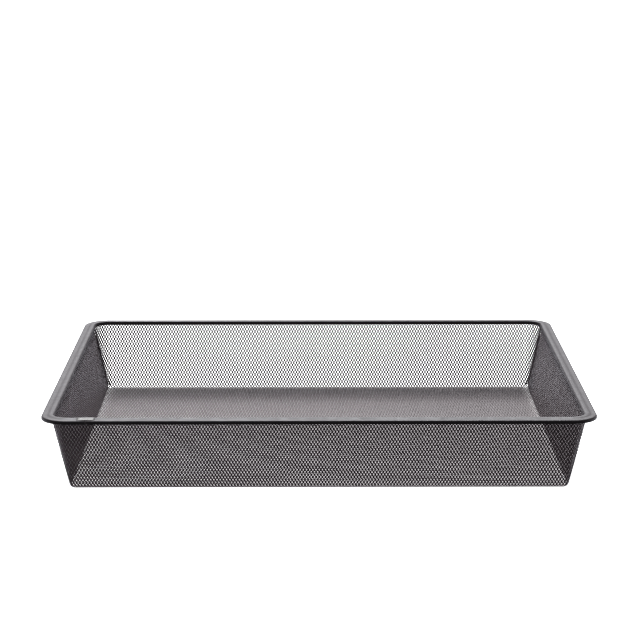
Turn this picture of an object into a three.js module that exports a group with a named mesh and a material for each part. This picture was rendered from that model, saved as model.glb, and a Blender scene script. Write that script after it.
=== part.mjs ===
// Mesh pull-out tray: an open tray of expanded steel mesh, pressed from one sheet, with a
// rolled sheet-steel rim all round. Millimetres, +Z up, +X along the long side, front at -Y.
// The origin is on the surface that the tray stands on, under its middle.
//
// The mesh tray is built here as plain thin solids of the mesh's overall thickness: a floor
// pan, four walls and four corners. The rim is cut where the real strip changes from straight
// to bent, so that each piece is simple. Touching pieces keep a small gap.

import * as THREE from 'three';

// Driving dimensions, mm.
const RIM_LENGTH = 544;          // outside of the rim along X
const RIM_DEPTH = 470;           // outside of the rim along Y
const RIM_CORNER_RADIUS = 27;    // outside of the rim, in plan
const LEDGE_HEIGHT = 75;         // from the standing surface to the rim's flat ledge
const GAP = 0.3;                 // between touching pieces

// The rim's strip, in section. Distances go inwards from the rim's outer edge, and heights
// are counted from the ledge.
const STRIP_THICKNESS = 0.9;
const LIP_DROP = 3.7;            // how far the outer lip turns down
const LIP_RADIUS = 1.8;
const LEDGE_WIDTH = 5;           // outer edge to the foot of the bead
const BEAD_CREST = { inwards: 8, height: 0.95 };
const LEG_FOOT = { inwards: 12.6, height: -3.2 };

// The mesh tray. Insets go from the rim's outer edge to the middle of the mesh. The walls
// slant, and end under the rim's bead, outside its inner leg.
const MESH_THICKNESS = 0.8;
const WALL_INSET_AT_LEDGE = 9.85;
const WALL_TAPER = 16.4;         // how much further in the wall is at the standing surface
const WALL_TOP = LEDGE_HEIGHT - 1.2;
const CORNER_RADIUS_AT_LEDGE = 15;
const CORNER_RADIUS_AT_FOOT = 5;
const BEND_RADIUS = 4;           // between the floor and a wall

// The strap over the rim's butt joint, on the front rail near its left end.
const JOINT_X = -226.7;
const STRAP_LENGTH = 17.5;
const STRAP_THICKNESS = 0.5;
const STRAP_START = 1.8;         // inwards from the rim's outer edge
const STRAP_END = 10.6;

// How finely curves are cut.
const CURVE_STEPS = 5;
const RIM_CORNER_STEPS = 10;
const MESH_CORNER_STEPS = 6;
const BEND_STEPS = 4;

const GRAPHITE = 0x6f6b6b;
const MESH_GREY = 0x4c494b;
const ZINC = 0xb9b4ae;

const SIDES = [
  { name: 'front', along: [1, 0], outwards: [0, -1] },
  { name: 'right', along: [0, 1], outwards: [1, 0] },
  { name: 'back', along: [-1, 0], outwards: [0, 1] },
  { name: 'left', along: [0, -1], outwards: [-1, 0] },
];

const CORNERS = [
  { name: 'front_left', sign: [-1, -1], startAngle: Math.PI },
  { name: 'front_right', sign: [1, -1], startAngle: 1.5 * Math.PI },
  { name: 'back_right', sign: [1, 1], startAngle: 0 },
  { name: 'back_left', sign: [-1, 1], startAngle: 0.5 * Math.PI },
];

// A closed solid through a list of rings, each a loop of the same number of points. The cap is
// the list of triangles that closes one ring.
function loft(rings, cap) {
  const count = rings[0].length;
  const last = (rings.length - 1) * count;
  const triangles = [];
  for (let ring = 0; ring + 1 < rings.length; ring += 1) {
    for (let point = 0; point < count; point += 1) {
      const a = ring * count + point;
      const b = ring * count + ((point + 1) % count);
      triangles.push([a, b, b + count], [a, b + count, a + count]);
    }
  }
  for (const [a, b, c] of cap) {
    triangles.push([a, c, b], [last + a, last + b, last + c]);
  }
  const points = rings.flat();
  const facesInwards = signedVolume(points, triangles) < 0;
  const index = triangles.flatMap(([a, b, c]) => (facesInwards ? [a, c, b] : [a, b, c]));
  const geometry = new THREE.BufferGeometry();
  geometry.setFromPoints(points);
  geometry.setIndex(index);
  geometry.computeVertexNormals();
  return geometry;
}

function signedVolume(points, triangles) {
  const cross = new THREE.Vector3();
  let sum = 0;
  for (const [a, b, c] of triangles) {
    sum += points[a].dot(cross.crossVectors(points[b], points[c]));
  }
  return sum / 6;
}

// Triangles that close a convex loop.
function fan(count) {
  const cap = [];
  for (let point = 1; point + 1 < count; point += 1) {
    cap.push([0, point, point + 1]);
  }
  return cap;
}

function steps(from, to, count) {
  return Array.from({ length: count + 1 }, (_, i) => from + ((to - from) * i) / count);
}

function piece(name, geometry, colour, metalness) {
  const material = new THREE.MeshStandardMaterial({ color: colour, metalness, roughness: 0.5 });
  const mesh = new THREE.Mesh(geometry, material);
  mesh.name = name;
  return mesh;
}

// ---- Rim ----

// The strip's upper side, from the foot of the lip over the ledge and the bead to the foot of
// the inner leg. x goes inwards, y is the height from the ledge.
function rimSkin() {
  const { inwards, height } = BEAD_CREST;
  const foot = new THREE.Vector2(LEDGE_WIDTH, 0);
  const crest = new THREE.Vector2(inwards, height);
  const end = new THREE.Vector2(LEG_FOOT.inwards, LEG_FOOT.height);
  const reach = (inwards - LEDGE_WIDTH) / 2;
  const shoulder = end.x - crest.x;
  const fall = crest.y - end.y;
  const lip = steps(Math.PI, Math.PI / 2, CURVE_STEPS).map((angle) => new THREE.Vector2(
    LIP_RADIUS * (1 + Math.cos(angle)),
    LIP_RADIUS * (Math.sin(angle) - 1),
  ));
  const rise = new THREE.CubicBezierCurve(
    foot,
    new THREE.Vector2(foot.x + reach, 0),
    new THREE.Vector2(crest.x - reach, crest.y),
    crest,
  );
  const leg = new THREE.CubicBezierCurve(
    crest,
    new THREE.Vector2(crest.x + shoulder * 0.65, crest.y),
    new THREE.Vector2(end.x, end.y + fall * 0.6),
    end,
  );
  return [
    new THREE.Vector2(0, -LIP_DROP),
    ...lip,
    ...rise.getPoints(CURVE_STEPS),
    ...leg.getPoints(CURVE_STEPS).slice(1),
  ];
}

// The line moved sideways: a positive distance goes to the upper side, away from the metal.
function offsetLine(line, distance) {
  return line.map((point, i) => {
    const before = line[Math.max(i - 1, 0)];
    const after = line[Math.min(i + 1, line.length - 1)];
    const along = new THREE.Vector2().subVectors(after, before).normalize();
    return new THREE.Vector2(point.x - along.y * distance, point.y + along.x * distance);
  });
}

// A closed section between two lines that run side by side, anticlockwise.
function sectionBetween(upper, lower) {
  const section = [...upper, ...[...lower].reverse()];
  return THREE.ShapeUtils.isClockWise(section) ? section.reverse() : section;
}

// Stations say where the rim's outer edge is in plan, and which way is inwards.
function straightStation(side, along) {
  const [alongX, alongY] = side.along;
  const [outX, outY] = side.outwards;
  const reach = Math.abs(outX) > 0 ? RIM_LENGTH / 2 : RIM_DEPTH / 2;
  return {
    at: new THREE.Vector2(alongX * along + outX * reach, alongY * along + outY * reach),
    inwards: new THREE.Vector2(-outX, -outY),
  };
}

function cornerStation(corner, angle) {
  const [signX, signY] = corner.sign;
  const direction = new THREE.Vector2(Math.cos(angle), Math.sin(angle));
  const centre = new THREE.Vector2(
    signX * (RIM_LENGTH / 2 - RIM_CORNER_RADIUS),
    signY * (RIM_DEPTH / 2 - RIM_CORNER_RADIUS),
  );
  return {
    at: centre.addScaledVector(direction, RIM_CORNER_RADIUS),
    inwards: direction.negate(),
  };
}

function sweep(section, stations) {
  const rings = stations.map(({ at, inwards }) => section.map((point) => new THREE.Vector3(
    at.x + inwards.x * point.x,
    at.y + inwards.y * point.x,
    LEDGE_HEIGHT + point.y,
  )));
  return loft(rings, THREE.ShapeUtils.triangulateShape(section, []));
}

// Straight stretches of one side, between the two corner bends.
function straightEnd(side) {
  const half = side.along[0] !== 0 ? RIM_LENGTH / 2 : RIM_DEPTH / 2;
  return half - RIM_CORNER_RADIUS - GAP;
}

function rimRail(name, side, from, to, section) {
  const stations = [straightStation(side, from), straightStation(side, to)];
  return piece(name, sweep(section, stations), GRAPHITE, 0.4);
}

function rimCorner(corner, section) {
  const angles = steps(corner.startAngle, corner.startAngle + Math.PI / 2, RIM_CORNER_STEPS);
  const stations = angles.map((angle) => cornerStation(corner, angle));
  return piece(`rim_corner_${corner.name}`, sweep(section, stations), GRAPHITE, 0.4);
}

// The front of the strip is butt jointed at JOINT_X, so it is a long rail and a short one.
function rim() {
  const skin = rimSkin();
  const section = sectionBetween(skin, offsetLine(skin, -STRIP_THICKNESS));
  const [front, ...others] = SIDES;
  const group = new THREE.Group();
  group.name = 'rim';
  const end = straightEnd(front);
  group.add(rimRail('rim_rail_front', front, JOINT_X + GAP / 2, end, section));
  group.add(rimRail('rim_rail_front_end', front, -end, JOINT_X - GAP / 2, section));
  for (const side of others) {
    group.add(rimRail(`rim_rail_${side.name}`, side, -straightEnd(side), straightEnd(side), section));
  }
  for (const corner of CORNERS) {
    group.add(rimCorner(corner, section));
  }
  return group;
}

function jointStrap() {
  const covered = rimSkin().filter(({ x, y }) => x >= STRAP_START && x <= STRAP_END && y > -1);
  const under = offsetLine(covered, GAP);
  const section = sectionBetween(offsetLine(covered, GAP + STRAP_THICKNESS), under);
  const ends = [JOINT_X - STRAP_LENGTH / 2, JOINT_X + STRAP_LENGTH / 2];
  const stations = ends.map((along) => straightStation(SIDES[0], along));
  return piece('rim_joint_strap', sweep(section, stations), ZINC, 0.8);
}

// ---- Mesh tray ----

// Half sizes and corner radius, in plan, of the middle of the wall's mesh at a height.
function wallOutline(height) {
  const share = height / LEDGE_HEIGHT;
  const inset = WALL_INSET_AT_LEDGE + WALL_TAPER * (1 - share);
  const radius = THREE.MathUtils.lerp(CORNER_RADIUS_AT_FOOT, CORNER_RADIUS_AT_LEDGE, share);
  return { x: RIM_LENGTH / 2 - inset, y: RIM_DEPTH / 2 - inset, radius };
}

// The bend is an arc that touches the floor and the slanted wall.
const WALL_LEAN = Math.atan2(WALL_TAPER, LEDGE_HEIGHT);
const BEND_ANGLE = Math.PI / 2 - WALL_LEAN;
const BEND_CENTRE_HEIGHT = MESH_THICKNESS / 2 + BEND_RADIUS;
const BEND_TOP = BEND_CENTRE_HEIGHT - BEND_RADIUS * Math.cos(BEND_ANGLE);
const WALL_FOOT = BEND_TOP + GAP;

// One ring of the floor pan: the mesh's middle at an angle up the bend, moved outwards.
function panRing(angle, outwards) {
  const top = wallOutline(BEND_TOP);
  const radial = BEND_RADIUS + outwards;
  const shrink = BEND_RADIUS * Math.sin(BEND_ANGLE) - radial * Math.sin(angle);
  const height = BEND_CENTRE_HEIGHT - radial * Math.cos(angle);
  const radius = top.radius - shrink;
  const ring = [];
  for (const corner of CORNERS) {
    const [signX, signY] = corner.sign;
    const centreX = signX * (top.x - top.radius);
    const centreY = signY * (top.y - top.radius);
    const end = corner.startAngle + Math.PI / 2;
    for (const turn of steps(corner.startAngle, end, MESH_CORNER_STEPS)) {
      ring.push(new THREE.Vector3(
        centreX + radius * Math.cos(turn),
        centreY + radius * Math.sin(turn),
        height,
      ));
    }
  }
  return ring;
}

function meshFloor() {
  const half = MESH_THICKNESS / 2;
  const angles = steps(0, BEND_ANGLE, BEND_STEPS);
  const under = angles.map((angle) => panRing(angle, half));
  const inside = angles.map((angle) => panRing(angle, -half)).reverse();
  const rings = [...under, ...inside];
  return piece('mesh_floor', loft(rings, fan(rings[0].length)), MESH_GREY, 0.4);
}

// A wall's section. pointAt turns a height and a distance outwards into a point.
function wallLoop(pointAt) {
  const half = MESH_THICKNESS / 2;
  return [
    pointAt(WALL_FOOT, -half),
    pointAt(WALL_FOOT, half),
    pointAt(WALL_TOP, half),
    pointAt(WALL_TOP, -half),
  ];
}

function wallSection(side, end) {
  const [alongX, alongY] = side.along;
  const [outX, outY] = side.outwards;
  return wallLoop((height, outwards) => {
    const outline = wallOutline(height);
    const length = (alongX !== 0 ? outline.x : outline.y) - outline.radius - GAP;
    const reach = (outX !== 0 ? outline.x : outline.y) + outwards;
    return new THREE.Vector3(
      alongX * end * length + outX * reach,
      alongY * end * length + outY * reach,
      height,
    );
  });
}

function meshWall(side) {
  const rings = [wallSection(side, -1), wallSection(side, 1)];
  return piece(`mesh_wall_${side.name}`, loft(rings, fan(rings[0].length)), MESH_GREY, 0.4);
}

function meshCorner(corner) {
  const [signX, signY] = corner.sign;
  const pointAt = (angle, height, outwards) => {
    const outline = wallOutline(height);
    const radius = outline.radius + outwards;
    return new THREE.Vector3(
      signX * (outline.x - outline.radius) + radius * Math.cos(angle),
      signY * (outline.y - outline.radius) + radius * Math.sin(angle),
      height,
    );
  };
  const angles = steps(corner.startAngle, corner.startAngle + Math.PI / 2, MESH_CORNER_STEPS);
  const rings = angles.map((angle) => wallLoop(
    (height, outwards) => pointAt(angle, height, outwards),
  ));
  return piece(`mesh_corner_${corner.name}`, loft(rings, fan(rings[0].length)), MESH_GREY, 0.4);
}

function meshTray() {
  const group = new THREE.Group();
  group.name = 'mesh_tray';
  group.add(meshFloor());
  SIDES.forEach((side) => group.add(meshWall(side)));
  CORNERS.forEach((corner) => group.add(meshCorner(corner)));
  return group;
}

const tray = new THREE.Group();
tray.name = 'mesh_pull_out_tray';
tray.add(meshTray(), rim(), jointStrap());

export default tray;
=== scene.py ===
# Mesh pull-out tray: an open tray of expanded steel mesh with a rolled sheet-steel rim.
# Everything is in metres, in the frame's own axes: +X along the long side, the front at -Y.
import bpy
import math
import numpy as np
from mathutils import Matrix, Vector


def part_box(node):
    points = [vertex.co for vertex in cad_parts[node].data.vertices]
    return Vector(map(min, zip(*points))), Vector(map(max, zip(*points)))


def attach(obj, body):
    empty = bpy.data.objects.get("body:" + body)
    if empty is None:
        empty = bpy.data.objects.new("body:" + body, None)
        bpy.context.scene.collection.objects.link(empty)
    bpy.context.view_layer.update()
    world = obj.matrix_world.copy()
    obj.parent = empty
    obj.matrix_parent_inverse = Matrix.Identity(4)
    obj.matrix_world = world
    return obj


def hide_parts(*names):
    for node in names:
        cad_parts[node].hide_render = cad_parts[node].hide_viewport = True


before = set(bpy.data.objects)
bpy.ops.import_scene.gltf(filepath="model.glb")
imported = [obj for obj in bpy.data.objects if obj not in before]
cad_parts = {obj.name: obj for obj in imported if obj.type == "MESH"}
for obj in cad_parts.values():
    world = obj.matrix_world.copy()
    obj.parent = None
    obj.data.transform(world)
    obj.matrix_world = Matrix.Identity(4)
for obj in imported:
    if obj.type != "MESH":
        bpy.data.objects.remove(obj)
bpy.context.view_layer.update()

MM = 0.001

# ---- Sizes taken from the frame ----

RIM_HALF_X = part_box("rim_rail_right")[1].x
RIM_HALF_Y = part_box("rim_rail_back")[1].y
RIM_CORNER_RADIUS = RIM_HALF_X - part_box("rim_corner_back_right")[0].x
RAIL_LOW, RAIL_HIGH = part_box("rim_rail_back")
STRAP_LOW, STRAP_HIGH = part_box("rim_joint_strap")
JOINT_X = (STRAP_LOW.x + STRAP_HIGH.x) / 2

# ---- The rim's strip, in section ----
# Distances go inwards from the outer edge, heights are counted from the flat ledge.

STRIP_THICKNESS = 0.9 * MM
LIP_RADIUS = 1.8 * MM
LEDGE_WIDTH = 3.8 * MM
CREST_INWARDS = 9.5 * MM
CREST_HEIGHT = 0.95 * MM
LEG_INWARDS = RAIL_HIGH.y - RAIL_LOW.y
LEG_FOOT = -3.2 * MM
SHOULDER_FULLNESS = 0.9           # reach of the level start of the leg's curve, as a share
LEG_STRAIGHTNESS = 0.78           # reach of its upright end, as a share
LEDGE_HEIGHT = RAIL_HIGH.z - CREST_HEIGHT
LIP_FOOT = RAIL_LOW.z - LEDGE_HEIGHT
BUTT_JOINT_HALF_GAP = 0.15 * MM

LIP_STEPS = 12
RISE_STEPS = 10
LEG_STEPS = 12
EDGE_STEPS = 6                    # round the strip's edge
CORNER_STEPS = 24                 # round one corner of the rim
PATH_STEP = 10 * MM               # along the rim's straight sides

STRAP_THICKNESS = 0.3 * MM
STRAP_GAP = 0.05 * MM
STRAP_START = STRAP_LOW.y + RIM_HALF_Y
STRAP_END = STRAP_HIGH.y + RIM_HALF_Y
STRAP_FOOT = -1 * MM
STRAP_STEPS = 8

# ---- The mesh ----
# Bonds, where four strands meet, stand at every second point of a grid of half cells.
# Bonds and strands lean: the outer face is shifted sideways against the inner face.

MESH_THICKNESS = 0.47 * MM
HALF_CELL_ACROSS = 1.572 * MM
HALF_CELL_ALONG = 2.81 * MM
BOND_HALF_WIDTH = 0.72 * MM
BOND_HALF_WAIST = 0.84 * MM
BOND_HALF_LENGTH = 1.05 * MM
FACE_SHIFT = 0.12 * MM            # of each face, to its own side

WALL_TAPER = 17.4 * MM
WALL_INSET_AT_LEDGE = 9.3 * MM
CORNER_RADIUS_AT_LEDGE = 15 * MM
CORNER_RADIUS_AT_FOOT = 5 * MM
BEND_RADIUS = 3 * MM              # between floor and walls
MESH_TOP = LEDGE_HEIGHT - 0.5 * MM

# The corner seams: the side wall's sheet goes round the corner's arc on the outside, and the
# end wall's sheet goes round it on the inside and on over the side wall.
SEAM_OVERLAP = 4 * MM             # of the end wall's sheet past the arc
SEAM_LIFT = 0.55 * MM             # between the two layers
SEAM_FOOT = 3.5 * MM              # lowest height at which the layers overlap
SMALLEST_RADIUS = 0.1 * MM        # of an arc that a turn is worked out for

FLOOR_LEVEL = MESH_THICKNESS / 2
WALL_LEAN = math.atan2(WALL_TAPER, LEDGE_HEIGHT)
BEND_ANGLE = math.pi / 2 - WALL_LEAN
BEND_TOP = FLOOR_LEVEL + BEND_RADIUS * (1 - math.cos(BEND_ANGLE))


# ---- Small helpers ----

def link(obj):
    bpy.context.scene.collection.objects.link(obj)
    return obj


def mesh_object(name, points, polygons, material, smooth=True, spread=None):
    """A mesh piece from arrays: polygons is a list of integer arrays, one row per polygon.
    spread gives each point its place on the flat sheet, for baking."""
    mesh = bpy.data.meshes.new(name)
    corners = np.concatenate([rows.ravel() for rows in polygons])
    sizes = np.concatenate([np.full(len(rows), rows.shape[1]) for rows in polygons])
    starts = np.concatenate([[0], np.cumsum(sizes)[:-1]])
    mesh.vertices.add(len(points))
    mesh.vertices.foreach_set("co", np.asarray(points, np.float32).ravel())
    mesh.loops.add(len(corners))
    mesh.loops.foreach_set("vertex_index", corners.astype(np.int32))
    mesh.polygons.add(len(sizes))
    mesh.polygons.foreach_set("loop_start", starts.astype(np.int32))
    mesh.polygons.foreach_set("use_smooth", np.full(len(sizes), smooth))
    mesh.update(calc_edges=True)
    if spread is not None:
        layer = mesh.uv_layers.new(name="OFBake")
        layer.data.foreach_set("uv", spread[corners].astype(np.float32).ravel())
    mesh.materials.append(material)
    return link(bpy.data.objects.new(name, mesh))


# ---- Materials ----

NOISE_LOW = 0.3                   # most of a noise's values lie between these two
NOISE_HIGH = 0.7


def new_material(name):
    material = bpy.data.materials.new(name)
    material.use_nodes = True
    tree = material.node_tree
    return material, tree, tree.nodes["Principled BSDF"]


def noise(tree, scale, detail):
    where = tree.nodes.new("ShaderNodeTexCoord")
    texture = tree.nodes.new("ShaderNodeTexNoise")
    texture.inputs["Scale"].default_value = scale
    texture.inputs["Detail"].default_value = detail
    tree.links.new(where.outputs["Object"], texture.inputs["Vector"])
    return texture.outputs["Fac"]


def ramp(tree, factor, dark, light):
    """A colour that goes from dark to light as a noise goes over its usual range."""
    node = tree.nodes.new("ShaderNodeValToRGB")
    first, last = node.color_ramp.elements
    first.position, first.color = NOISE_LOW, (*dark, 1)
    last.position, last.color = NOISE_HIGH, (*light, 1)
    tree.links.new(factor, node.inputs["Fac"])
    return node.outputs["Color"]


def span(tree, factor, low, high):
    """A value that goes from low to high as a noise goes over its usual range."""
    node = tree.nodes.new("ShaderNodeMapRange")
    node.inputs["From Min"].default_value = NOISE_LOW
    node.inputs["From Max"].default_value = NOISE_HIGH
    node.inputs["To Min"].default_value = low
    node.inputs["To Max"].default_value = high
    tree.links.new(factor, node.inputs["Value"])
    return node.outputs["Result"]


def bump(tree, height, strength, distance):
    node = tree.nodes.new("ShaderNodeBump")
    node.inputs["Strength"].default_value = strength
    node.inputs["Distance"].default_value = distance
    tree.links.new(height, node.inputs["Height"])
    return node.outputs["Normal"]


def powder_coat(name, dark, light, sheen, level, roughness, peel):
    """Powder coat: mottled colour, uneven gloss and an orange-peel skin. sheen and level are
    the tint and strength of the gloss, roughness is its range, and peel is the skin's depth."""
    material, tree, shader = new_material(name)
    colour = ramp(tree, noise(tree, scale=60, detail=4), dark, light)
    gloss = span(tree, noise(tree, scale=140, detail=3), *roughness)
    skin = bump(tree, noise(tree, scale=900, detail=2), strength=0.35, distance=peel)
    tree.links.new(colour, shader.inputs["Base Color"])
    tree.links.new(gloss, shader.inputs["Roughness"])
    tree.links.new(skin, shader.inputs["Normal"])
    shader.inputs["IOR"].default_value = 1.5
    shader.inputs["Specular IOR Level"].default_value = level
    shader.inputs["Specular Tint"].default_value = (*sheen, 1)
    return material


def rim_paint():
    return powder_coat(
        "graphite_powder_coat",
        dark=(0.032, 0.025, 0.025),
        light=(0.046, 0.038, 0.038),
        sheen=(0.88, 0.92, 1),
        level=0.34,
        roughness=(0.56, 0.64),
        peel=0.06 * MM,
    )


def mesh_paint():
    return powder_coat(
        "graphite_mesh_coat",
        dark=(0.054, 0.040, 0.043),
        light=(0.076, 0.057, 0.061),
        sheen=(1, 0.91, 0.95),
        level=0.5,
        roughness=(0.45, 0.55),
        peel=0.04 * MM,
    )


def strap_metal():
    """Dull zinc-grey steel, finely mottled."""
    material, tree, shader = new_material("dull_zinc")
    dark, light = (0.075, 0.073, 0.072), (0.11, 0.107, 0.105)
    colour = ramp(tree, noise(tree, scale=350, detail=5), dark, light)
    gloss = span(tree, noise(tree, scale=500, detail=4), 0.54, 0.64)
    grain = bump(tree, noise(tree, scale=1500, detail=3), strength=0.3, distance=0.05 * MM)
    tree.links.new(colour, shader.inputs["Base Color"])
    tree.links.new(gloss, shader.inputs["Roughness"])
    tree.links.new(grain, shader.inputs["Normal"])
    shader.inputs["Metallic"].default_value = 0.2
    return material


# ---- Rim ----

def bezier(a, b, c, d, steps):
    share = np.linspace(0, 1, steps + 1)[:, None]
    rest = 1 - share
    points = [np.array(point) for point in (a, b, c, d)]
    return (
        points[0] * rest**3
        + points[1] * 3 * rest**2 * share
        + points[2] * 3 * rest * share**2
        + points[3] * share**3
    )


def rim_skin():
    """The strip's upper side, from the lip's foot over ledge and bead to the leg's foot."""
    half_strip = STRIP_THICKNESS / 2
    angles = np.linspace(math.pi, math.pi / 2, LIP_STEPS + 1)
    lip = np.stack([
        LIP_RADIUS * (1 + np.cos(angles)),
        LIP_RADIUS * (np.sin(angles) - 1),
    ], axis=1)
    reach = (CREST_INWARDS - LEDGE_WIDTH) / 2
    shoulder = LEG_INWARDS - CREST_INWARDS
    fall = CREST_HEIGHT - LEG_FOOT
    rise = bezier(
        (LEDGE_WIDTH, 0),
        (LEDGE_WIDTH + reach, 0),
        (CREST_INWARDS - reach, CREST_HEIGHT),
        (CREST_INWARDS, CREST_HEIGHT),
        RISE_STEPS,
    )
    leg = bezier(
        (CREST_INWARDS, CREST_HEIGHT),
        (CREST_INWARDS + shoulder * SHOULDER_FULLNESS, CREST_HEIGHT),
        (LEG_INWARDS, LEG_FOOT + fall * LEG_STRAIGHTNESS),
        (LEG_INWARDS, LEG_FOOT + half_strip),
        LEG_STEPS,
    )
    start = np.array([[0, LIP_FOOT + half_strip]])
    return np.concatenate([start, lip, rise, leg[1:]])


def sideways(line):
    """Unit vectors square to a line, on its upper side."""
    along = np.gradient(line, axis=0)
    along /= np.linalg.norm(along, axis=1)[:, None]
    return np.stack([-along[:, 1], along[:, 0]], axis=1)


def strip_section(skin, thickness, lift=0.0):
    """A closed section with round edges. Its upper side is the skin line, raised by lift."""
    up = sideways(skin)
    middle = skin + up * (lift - thickness / 2)
    upper = middle + up * thickness / 2
    lower = middle - up * thickness / 2
    turns = np.linspace(0, math.pi, EDGE_STEPS + 1)[1:-1]

    def edge(at, normal, outwards):
        return [
            at + thickness / 2 * (normal * math.cos(turn) + outwards * math.sin(turn))
            for turn in turns
        ]

    first_out = np.array([-up[0, 1], up[0, 0]])
    last_out = np.array([up[-1, 1], -up[-1, 0]])
    end = edge(middle[-1], up[-1], last_out)
    start = edge(middle[0], -up[0], first_out)
    return np.concatenate([upper, end, lower[::-1], start])


def rim_path():
    """Stations along the rim's outer edge, once round from the butt joint: each one's place and
    the direction inwards."""
    straight_x = RIM_HALF_X - RIM_CORNER_RADIUS
    straight_y = RIM_HALF_Y - RIM_CORNER_RADIUS
    joint_start = JOINT_X - BUTT_JOINT_HALF_GAP
    joint_end = JOINT_X + BUTT_JOINT_HALF_GAP
    stations = []

    def run(start, end, inwards):
        start, end = np.array(start), np.array(end)
        steps = max(1, round(float(np.linalg.norm(end - start)) / PATH_STEP))
        for share in np.linspace(0, 1, steps + 1):
            stations.append((start + (end - start) * share, np.array(inwards)))

    def corner(sign_x, sign_y, first_angle):
        centre = np.array([sign_x * straight_x, sign_y * straight_y])
        for turn in np.linspace(0, math.pi / 2, CORNER_STEPS + 1)[1:-1]:
            way = np.array([math.cos(first_angle + turn), math.sin(first_angle + turn)])
            stations.append((centre + way * RIM_CORNER_RADIUS, -way))

    run((joint_end, -RIM_HALF_Y), (straight_x, -RIM_HALF_Y), (0, 1))
    corner(1, -1, -math.pi / 2)
    run((RIM_HALF_X, -straight_y), (RIM_HALF_X, straight_y), (-1, 0))
    corner(1, 1, 0)
    run((straight_x, RIM_HALF_Y), (-straight_x, RIM_HALF_Y), (0, -1))
    corner(-1, 1, math.pi / 2)
    run((-RIM_HALF_X, straight_y), (-RIM_HALF_X, -straight_y), (1, 0))
    corner(-1, -1, math.pi)
    run((-straight_x, -RIM_HALF_Y), (joint_start, -RIM_HALF_Y), (0, 1))
    return stations


def swept(name, section, stations, material):
    """A section swept along stations, with closed ends."""
    rings = np.concatenate([
        np.column_stack([at + inwards * section[:, :1], LEDGE_HEIGHT + section[:, 1]])
        for at, inwards in stations
    ])
    count = len(section)
    ring = np.arange(count)
    following = (ring + 1) % count
    bands = [
        np.column_stack([ring, following, following + count, ring + count]) + start * count
        for start in range(len(stations) - 1)
    ]
    last = (len(stations) - 1) * count
    caps = [ring[::-1][None, :], (ring + last)[None, :]]
    return mesh_object(name, rings, [np.concatenate(bands), *caps], material)


def make_rim(paint):
    section = strip_section(rim_skin(), STRIP_THICKNESS)
    rim = swept("rolled_rim", section, rim_path(), paint)
    sides = ("front", "right", "back", "left")
    corners = ("front_left", "front_right", "back_right", "back_left")
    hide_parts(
        "rim_rail_front_end",
        *[f"rim_rail_{side}" for side in sides],
        *[f"rim_corner_{corner}" for corner in corners],
    )
    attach(rim, "root")


def make_strap(metal):
    """The thin strap that wraps the rim's butt joint."""
    skin = rim_skin()
    under = (skin[:, 0] >= STRAP_START) & (skin[:, 0] <= STRAP_END) & (skin[:, 1] > STRAP_FOOT)
    section = strip_section(skin[under], STRAP_THICKNESS, STRAP_GAP + STRAP_THICKNESS)
    inwards = np.array((0, 1))
    stations = [
        (np.array((along, -RIM_HALF_Y)), inwards)
        for along in np.linspace(STRAP_LOW.x, STRAP_HIGH.x, STRAP_STEPS + 1)
    ]
    strap = swept("joint_strap", section, stations, metal)
    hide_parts("rim_joint_strap")
    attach(strap, "root")


# ---- Expanded mesh ----

def wall_outline(height):
    """Half sizes and corner radius, in plan, of the tray's walls at a height: of the middle of
    the mesh's thickness."""
    share = height / LEDGE_HEIGHT
    inset = WALL_INSET_AT_LEDGE + WALL_TAPER * (1 - share)
    radius = CORNER_RADIUS_AT_FOOT + (CORNER_RADIUS_AT_LEDGE - CORNER_RADIUS_AT_FOOT) * share
    return RIM_HALF_X - inset, RIM_HALF_Y - inset, radius


# Centre of the corner arcs at the top of the bend.
FOOT_X, FOOT_Y, FOOT_RADIUS = wall_outline(BEND_TOP)
CORNER_X = FOOT_X - FOOT_RADIUS
CORNER_Y = FOOT_Y - FOOT_RADIUS

# Lengths along the mesh's section, counted outwards from that centre.
BEND_START = FOOT_RADIUS - BEND_RADIUS * math.sin(BEND_ANGLE)
SLANT_START = BEND_START + BEND_RADIUS * BEND_ANGLE
MESH_END = SLANT_START + (MESH_TOP - BEND_TOP) / math.cos(WALL_LEAN)

# How far the side walls' sheet goes towards front and back.
SIDE_SHEET_END = RIM_HALF_Y - WALL_INSET_AT_LEDGE - CORNER_RADIUS_AT_LEDGE

# Grid columns and rows from the middle of the floor to its ends, and to the walls' tops.
FLOOR_COLUMNS = int(CORNER_X / HALF_CELL_ACROSS)
FLOOR_ROWS = int(CORNER_Y / HALF_CELL_ALONG)
SIDE_ROWS = int(SIDE_SHEET_END / HALF_CELL_ALONG)
ALL_COLUMNS = int((CORNER_X + MESH_END) / HALF_CELL_ACROSS)
ALL_ROWS = int((CORNER_Y + MESH_END) / HALF_CELL_ALONG)


def profile(length):
    """The mesh's section at a length along it: reach past the corner arcs' centre, height, and
    slope as an angle from level."""
    length = np.clip(length, 0, MESH_END)
    turn = np.clip((length - BEND_START) / BEND_RADIUS, 0, BEND_ANGLE)
    slant = np.maximum(length - SLANT_START, 0)
    height = FLOOR_LEVEL + BEND_RADIUS * (1 - np.cos(turn)) + slant * math.cos(WALL_LEAN)
    reach = (
        np.minimum(length, BEND_START)
        + BEND_RADIUS * np.sin(turn)
        + slant * math.sin(WALL_LEAN)
    )
    return reach, height, turn


def arc_centre(height):
    """Centre of the corner arcs, in plan, at a height. The straight walls end there too."""
    x, y, radius = wall_outline(np.maximum(height, BEND_TOP))
    return x - radius, y - radius


def eased(share):
    """A smooth step from 0 to 1."""
    share = np.clip(share, 0, 1)
    return share**2 * (3 - 2 * share)


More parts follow.
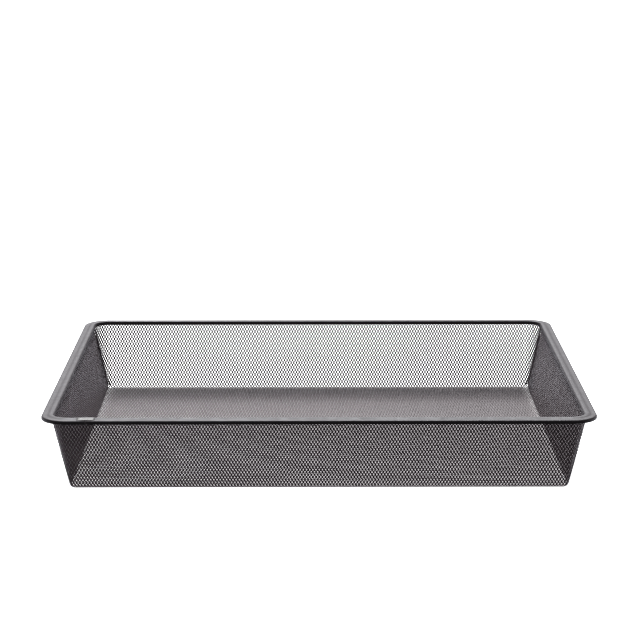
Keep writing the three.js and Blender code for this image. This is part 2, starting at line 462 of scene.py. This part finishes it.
def bent_sheet(out_length, along, offset, axis, lift_at):
    """Points of a wall's sheet or of the floor: how far out they are along the wall's axis, how
    far along the wall, and how high. out_length and along are lengths on the pressed sheet
    from its middle, and offset is towards the inside of the tray. Past the straight wall the
    sheet goes round the corner's arc, and past the arc it lies over the other wall. lift_at
    says how far outside the arc it is at a turn round it."""
    corner = (CORNER_X, CORNER_Y)[axis]
    reach, height, slope = profile(np.abs(out_length) - corner)
    inside = np.minimum(np.abs(out_length), corner)
    centre_out = arc_centre(height)[axis]
    centre_along = arc_centre(height)[1 - axis]
    # The floor has no arc, so there any radius will do.
    on_wall = np.abs(out_length) > corner
    radius = np.where(on_wall, reach - (centre_out - corner), 1)
    past = np.where(on_wall, np.maximum(np.abs(along) - centre_along, 0), 0)
    turn = np.minimum(past / np.maximum(radius, SMALLEST_RADIUS), math.pi / 2)
    overlap = np.maximum(past - radius * math.pi / 2, 0)
    radial = radius - offset * np.sin(slope) + lift_at(turn)
    straight = inside + reach - offset * np.sin(slope)
    out = np.where(past > 0, centre_out + radial * np.cos(turn) - overlap, straight)
    beside = np.where(past > 0, centre_along + radial * np.sin(turn), np.abs(along))
    return np.sign(out_length) * out, np.sign(along) * beside, height + offset * np.cos(slope)


def side_point(across, along, offset):
    """Points of the left or right wall, or of the floor. In a corner they are the outer layer,
    which lifts off over the first half of the arc."""
    def lift(turn):
        return SEAM_LIFT * eased(turn * 4 / math.pi)

    x, y, z = bent_sheet(across, along, offset, 0, lift)
    return np.stack([x, y, z], axis=-1)


def band_point(across, along, offset):
    """Points of the front or back wall, or of the floor. In a corner they are the inner layer,
    which moves inwards over the second half of the arc."""
    def lift(turn):
        return -SEAM_LIFT * eased(turn * 4 / math.pi - 1)

    y, x, z = bent_sheet(along, across, offset, 1, lift)
    return np.stack([x, y, z], axis=-1)


def sheet_point(across, along, offset):
    """Points of the floor and of the first bonds past it."""
    past_end = (np.abs(along) > CORNER_Y)[..., None]
    return np.where(
        past_end,
        band_point(across, along, offset),
        side_point(across, along, offset),
    )


def on_floor(column, row):
    """Whether the floor has a bond at a grid point."""
    return (np.abs(column) <= FLOOR_COLUMNS) & (np.abs(row) <= FLOOR_ROWS)


def on_band(column, row):
    """Whether the front or back wall, with its corners, has a bond at a grid point."""
    across = np.abs(column) * HALF_CELL_ACROSS
    reach, height, _ = profile(np.abs(row) * HALF_CELL_ALONG - CORNER_Y)
    centre_x, centre_y = arc_centre(height)
    radius = reach - (centre_y - CORNER_Y)
    end = centre_x + radius * math.pi / 2 + np.where(height > SEAM_FOOT, SEAM_OVERLAP, 0)
    return (np.abs(row) > FLOOR_ROWS) & (np.abs(row) <= ALL_ROWS) & (across <= end)


def on_side(column, row):
    """Whether the left or right wall has a bond at a grid point."""
    _, height, _ = profile(np.abs(column) * HALF_CELL_ACROSS - CORNER_X)
    end = np.where(height > SEAM_FOOT, SIDE_SHEET_END, arc_centre(height)[1]) - BOND_HALF_LENGTH
    on_wall = (np.abs(column) > FLOOR_COLUMNS) & (np.abs(column) <= ALL_COLUMNS)
    return on_wall & (np.abs(row) * HALF_CELL_ALONG <= end)


def on_sheet(column, row):
    """Whether any part of the tray has a bond at a grid point."""
    return on_floor(column, row) | on_band(column, row) | on_side(column, row)


# A bond's outline is a hexagon with flat sides left and right and a point at top and bottom.
BOND_OUTLINE = np.array([
    (BOND_HALF_WIDTH, -BOND_HALF_WAIST),
    (BOND_HALF_WIDTH, BOND_HALF_WAIST),
    (0, BOND_HALF_LENGTH),
    (-BOND_HALF_WIDTH, BOND_HALF_WAIST),
    (-BOND_HALF_WIDTH, -BOND_HALF_WAIST),
    (0, -BOND_HALF_LENGTH),
])
CORNERS = len(BOND_OUTLINE)
BOND_POINTS = 2 * CORNERS         # the outline on the inner and on the outer face
FLAT_SIDES = ((0, 1), (3, 4))

# Strands leave a bond by its four sloping sides. For those that go up: the step to the next
# bond, the outline points they leave from, and those they arrive at. For those that come from
# below: the step to the bond they come from, and the outline points they arrive at.
STRANDS_UP = (
    ((1, 1), (1, 2), (5, 4)),
    ((-1, 1), (2, 3), (0, 5)),
)
STRANDS_FROM_BELOW = (
    ((-1, -1), (4, 5)),
    ((1, -1), (5, 0)),
)


def bond_points(point_of, column, row):
    """The outline of each bond on the inner face and then on the outer face, and where those
    points lie on the flat sheet. The right wall's faces lean the other way, so that both side
    walls look alike."""
    faces, flat = [], []
    shift = FACE_SHIFT * np.where(column > FLOOR_COLUMNS, -1, 1)[:, None]
    for side in (1, -1):
        across = column[:, None] * HALF_CELL_ACROSS + BOND_OUTLINE[:, 0] + side * shift
        along = row[:, None] * HALF_CELL_ALONG + BOND_OUTLINE[:, 1]
        faces.append(point_of(across, along, side * MESH_THICKNESS / 2))
        flat.append(np.stack([across, along], axis=-1))
    return np.stack(faces, axis=1).reshape(-1, 3), np.stack(flat, axis=1).reshape(-1, 2)


def numbered_bonds(columns, rows, has_bond):
    """Column and row of each bond in a range of the grid, and a function that gives the number
    of the bond at a grid point, or -1."""
    column, row = np.meshgrid(
        np.arange(columns[0], columns[1] + 1),
        np.arange(rows[0], rows[1] + 1),
        indexing="ij",
    )
    keep = ((column + row) % 2 == 0) & has_bond(column, row)
    column, row = column[keep], row[keep]
    # The table of numbers has a margin of one grid point all round.
    number = np.full((columns[1] - columns[0] + 3, rows[1] - rows[0] + 3), -1)
    number[column - columns[0] + 1, row - rows[0] + 1] = np.arange(len(column))

    def number_at(far_column, far_row):
        return number[far_column - columns[0] + 1, far_row - rows[0] + 1]

    return column, row, number_at


def edge_quads(start, first, end, second):
    """Quads through the sheet's thickness, from one outline point to another."""
    return np.column_stack([
        start + first, start + CORNERS + first, end + CORNERS + second, end + second,
    ])


def strand_quads(start, near, end, far):
    """The four faces of the strands from one set of bonds to the next."""
    inner = np.column_stack([start + near[1], start + near[0], end + far[0], end + far[1]])
    outer = (inner + CORNERS)[:, ::-1]
    return [
        inner,
        outer,
        edge_quads(start, near[0], end, far[0]),
        edge_quads(end, far[1], start, near[1]),
    ]


def lattice(name, point_of, columns, rows, has_bond, has_neighbour, material):
    """A closed piece of expanded mesh: the bonds in a range of columns and rows, and the
    strands that go up from them. has_neighbour says where the sheet goes on with bonds of
    other pieces, so that a strand which crosses over is made once."""
    column, row, number_at = numbered_bonds(columns, rows, has_bond)
    base = np.arange(len(column)) * BOND_POINTS
    total = len(column) * BOND_POINTS
    made = [bond_points(point_of, column, row)]
    ring = np.arange(CORNERS)
    hexagons = [base[:, None] + ring, base[:, None] + CORNERS + ring[::-1]]
    quads = [edge_quads(base, first, base, second) for first, second in FLAT_SIDES]
    for step, (first, second) in STRANDS_FROM_BELOW:
        bare = base[number_at(column + step[0], row + step[1]) < 0]
        quads.append(edge_quads(bare, first, bare, second))
    for step, near, far in STRANDS_UP:
        far_column, far_row = column + step[0], row + step[1]
        number = number_at(far_column, far_row)
        crosses = (number < 0) & has_neighbour(far_column, far_row)
        linked = (number >= 0) | crosses
        made.append(bond_points(point_of, far_column[crosses], far_row[crosses]))
        far_base = number * BOND_POINTS
        far_base[crosses] = total + np.arange(crosses.sum()) * BOND_POINTS
        total += crosses.sum() * BOND_POINTS
        bare, beyond = base[~linked], far_base[crosses]
        quads.append(edge_quads(bare, near[0], bare, near[1]))
        quads += strand_quads(base[linked], near, far_base[linked], far)
        quads.append(edge_quads(beyond, far[0], beyond, far[1]))
    points, flat = (np.concatenate(parts) for parts in zip(*made))
    polygons = [np.concatenate(hexagons), np.concatenate(quads)]
    return sheet_piece(name, points, flat, polygons, material)


def sheet_piece(name, points, flat, polygons, material):
    """A flat-shaded piece of the points that its polygons use."""
    used = np.unique(np.concatenate([polygon.ravel() for polygon in polygons]))
    renumber = np.zeros(len(points), int)
    renumber[used] = np.arange(len(used))
    polygons = [renumber[polygon] for polygon in polygons]
    spread = (flat - flat.min(axis=0)) / np.ptp(flat, axis=0)
    return mesh_object(name, points[used], polygons, material, smooth=False, spread=spread[used])


def make_mesh(paint):
    """The pressed sheet, in four strips of floor and four walls. The corners belong to the
    front and back walls."""
    def add(name, nodes, point_of, columns, rows, has_bond, has_neighbour):
        piece = lattice(name, point_of, columns, rows, has_bond, has_neighbour, paint)
        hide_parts(*nodes)
        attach(piece, "root")

    middle = FLOOR_COLUMNS // 2
    strips = (
        (-FLOOR_COLUMNS, -middle - 1),
        (-middle, -1),
        (0, middle),
        (middle + 1, FLOOR_COLUMNS),
    )
    floor_rows = (-FLOOR_ROWS, FLOOR_ROWS)
    for number, columns in enumerate(strips, start=1):
        add(f"mesh_floor_{number}", ["mesh_floor"], sheet_point, columns, floor_rows,
            on_floor, on_sheet)
    band_rows = {"front": (-ALL_ROWS, -FLOOR_ROWS - 1), "back": (FLOOR_ROWS + 1, ALL_ROWS)}
    all_columns = (-ALL_COLUMNS, ALL_COLUMNS)
    for side, rows in band_rows.items():
        nodes = [f"mesh_wall_{side}", f"mesh_corner_{side}_left", f"mesh_corner_{side}_right"]
        add(f"mesh_{side}", nodes, band_point, all_columns, rows, on_band, on_floor)
    side_columns = {
        "left": (-ALL_COLUMNS, -FLOOR_COLUMNS - 1),
        "right": (FLOOR_COLUMNS + 1, ALL_COLUMNS),
    }
    side_rows = (-SIDE_ROWS, SIDE_ROWS)
    for side, columns in side_columns.items():
        add(f"mesh_{side}", [f"mesh_wall_{side}"], side_point, columns, side_rows,
            on_side, on_floor)


# ---- Stage ----

STAGE_HALF_SIZE = 40
STAGE_LEVEL = -0.2 * MM
STAGE_SHADE = (0.4, 0.4, 0.4, 1)
# Under the tray the stage's glow is painted shade, deepest towards the back: it fades from its
# strength under the front to that under the back.
SHADED_GLOW_UNDER_FRONT = 0.8            # strength of the stage's glow under the tray's front
SHADED_GLOW_UNDER_BACK = 0.18
GLOW_AROUND = 0.9
GLOW_FADE_START = -150 * MM
GLOW_FADE_END = 235 * MM
GLOW_RAMP = 12 * MM               # just inside the tray's foot

# The studio's light depends on the direction it comes from. A direction is a unit vector.
BACK_LIGHT = 0.65
LOW_BACK_LIGHT = 2.5
SKY_LIGHT = 0.2
LOW_FRONT_LIGHT = 0.052
BEHIND_FADE = (-0.3, 0.6)         # Y of the directions between front and behind
LOW_BACK_FADE = (-0.1, 0.1)       # Z of those between low and high, behind
SKY_FADE = (-0.05, 0.25)          # Z of those between low and high, all round
STUDIO_COLOUR = (0.98, 0.98, 1.06, 1)
BACKDROP_STRENGTH = 1.2           # of the white backdrop that the camera sees

KEY_LIGHT = 5.1
KEY_FROM = Vector((-0.04, 0.64, 0.76))
KEY_SIZE = math.radians(25)


def fade(tree, source, start, end, low, high):
    """A smooth step from low to high as the source goes from start to end."""
    node = tree.nodes.new("ShaderNodeMapRange")
    node.interpolation_type = "SMOOTHSTEP"
    node.inputs["From Min"].default_value = start
    node.inputs["From Max"].default_value = end
    node.inputs["To Min"].default_value = low
    node.inputs["To Max"].default_value = high
    tree.links.new(source, node.inputs["Value"])
    return node.outputs["Result"]


def combine(tree, operation, *sources):
    """The result of a mathematical operation on one or two sources."""
    node = tree.nodes.new("ShaderNodeMath")
    node.operation = operation
    for source, socket in zip(sources, node.inputs):
        tree.links.new(source, socket)
    return node.outputs[0]


def axes_of(tree, coordinates):
    """A place or direction in the scene, split into X, Y and Z."""
    where = tree.nodes.new("ShaderNodeTexCoord")
    split = tree.nodes.new("ShaderNodeSeparateXYZ")
    tree.links.new(where.outputs[coordinates], split.inputs["Vector"])
    return split.outputs


def stage_glow_with_painted_shade(tree):
    """How strongly the stage glows: less under the tray than around it, and least under the back
    of the tray. The dimmer glow under the tray is painted shade, deepest towards the back."""
    axes = axes_of(tree, "Object")
    under = combine(tree, "MINIMUM", *[
        fade(tree, combine(tree, "ABSOLUTE", axes[axis]), foot - GLOW_RAMP, foot, 1, 0)
        for axis, foot in (("X", FOOT_X), ("Y", FOOT_Y))
    ])
    shaded_glow_under = fade(tree, axes["Y"], GLOW_FADE_START, GLOW_FADE_END,
                      SHADED_GLOW_UNDER_FRONT, SHADED_GLOW_UNDER_BACK)
    strength = tree.nodes.new("ShaderNodeMapRange")
    strength.inputs["To Min"].default_value = GLOW_AROUND
    tree.links.new(shaded_glow_under, strength.inputs["To Max"])
    tree.links.new(under, strength.inputs["Value"])
    return strength.outputs["Result"]


def make_floor():
    """The stage. Diffuse and glossy rays don't see it: the studio's light is all in the world
    and the key light."""
    material, tree, shader = new_material("pale_floor")
    shader.inputs["Base Color"].default_value = STAGE_SHADE
    shader.inputs["Roughness"].default_value = 0.9
    shader.inputs["Emission Color"].default_value = (1, 1, 1, 1)
    # The stage's glow is dimmer under the tray: painted shade, deepest towards the back.
    tree.links.new(stage_glow_with_painted_shade(tree), shader.inputs["Emission Strength"])
    corners = np.array([(-1, -1), (1, -1), (1, 1), (-1, 1)]) * STAGE_HALF_SIZE
    points = np.column_stack([corners, np.full(4, STAGE_LEVEL)])
    floor = mesh_object("stage_floor", points, [np.array([[0, 1, 2, 3]])], material, False)
    floor.visible_diffuse = False
    floor.visible_glossy = False


def make_world():
    """A studio that is bright behind the object, softly lit above, and dim low in front. The
    camera sees a plain white backdrop."""
    world = bpy.data.worlds.new("studio")
    bpy.context.scene.world = world
    world.use_nodes = True
    tree = world.node_tree
    axes = axes_of(tree, "Generated")
    behind = fade(tree, axes["Y"], *BEHIND_FADE, 0, 1)
    backdrop = fade(tree, axes["Z"], *LOW_BACK_FADE, LOW_BACK_LIGHT, BACK_LIGHT)
    sky = fade(tree, axes["Z"], *SKY_FADE, LOW_FRONT_LIGHT, SKY_LIGHT)
    total = combine(tree, "ADD", combine(tree, "MULTIPLY", behind, backdrop), sky)
    around = tree.nodes["Background"]
    around.inputs["Color"].default_value = STUDIO_COLOUR
    tree.links.new(total, around.inputs["Strength"])

    seen = tree.nodes.new("ShaderNodeBackground")
    seen.inputs["Color"].default_value = (1, 1, 1, 1)
    seen.inputs["Strength"].default_value = BACKDROP_STRENGTH
    ray = tree.nodes.new("ShaderNodeLightPath")
    mix = tree.nodes.new("ShaderNodeMixShader")
    tree.links.new(ray.outputs["Is Camera Ray"], mix.inputs["Fac"])
    tree.links.new(around.outputs["Background"], mix.inputs[1])
    tree.links.new(seen.outputs["Background"], mix.inputs[2])
    tree.links.new(mix.outputs["Shader"], tree.nodes["World Output"].inputs["Surface"])


def make_lights():
    """One wide key light from above and behind."""
    light = bpy.data.lights.new("key", "SUN")
    light.energy = KEY_LIGHT
    light.angle = KEY_SIZE
    lamp = link(bpy.data.objects.new("key", light))
    lamp.rotation_euler = KEY_FROM.to_track_quat("Z", "Y").to_euler()


# ---- Camera ----

CAMERA_PLACE = Vector((-7.4, -2262.3, 606.0)) * MM
CAMERA_TILT = math.radians(12.01)  # down from level
CAMERA_YAW = math.radians(0.229)  # to the right of +Y
CAMERA_ROLL = math.radians(-0.045)
CAMERA_LENS = 121.74
CAMERA_SENSOR = 36
CAMERA_REACH = 200
PIXEL_FILTER_WIDTH = 1.08


def make_camera():
    data = bpy.data.cameras.new("camera")
    data.sensor_width = CAMERA_SENSOR
    data.lens = CAMERA_LENS
    data.clip_end = CAMERA_REACH
    camera = link(bpy.data.objects.new("camera", data))
    turn = (
        Matrix.Rotation(-CAMERA_YAW, 4, "Z")
        @ Matrix.Rotation(math.pi / 2 - CAMERA_TILT, 4, "X")
        @ Matrix.Rotation(CAMERA_ROLL, 4, "Z")
    )
    camera.matrix_world = Matrix.Translation(CAMERA_PLACE) @ turn
    bpy.context.scene.camera = camera


def main():
    make_camera()
    make_world()
    make_lights()
    make_floor()
    make_rim(rim_paint())
    make_mesh(mesh_paint())
    make_strap(strap_metal())
    scene = bpy.context.scene
    scene.view_settings.view_transform = "Standard"
    scene.cycles.filter_width = PIXEL_FILTER_WIDTH


main()
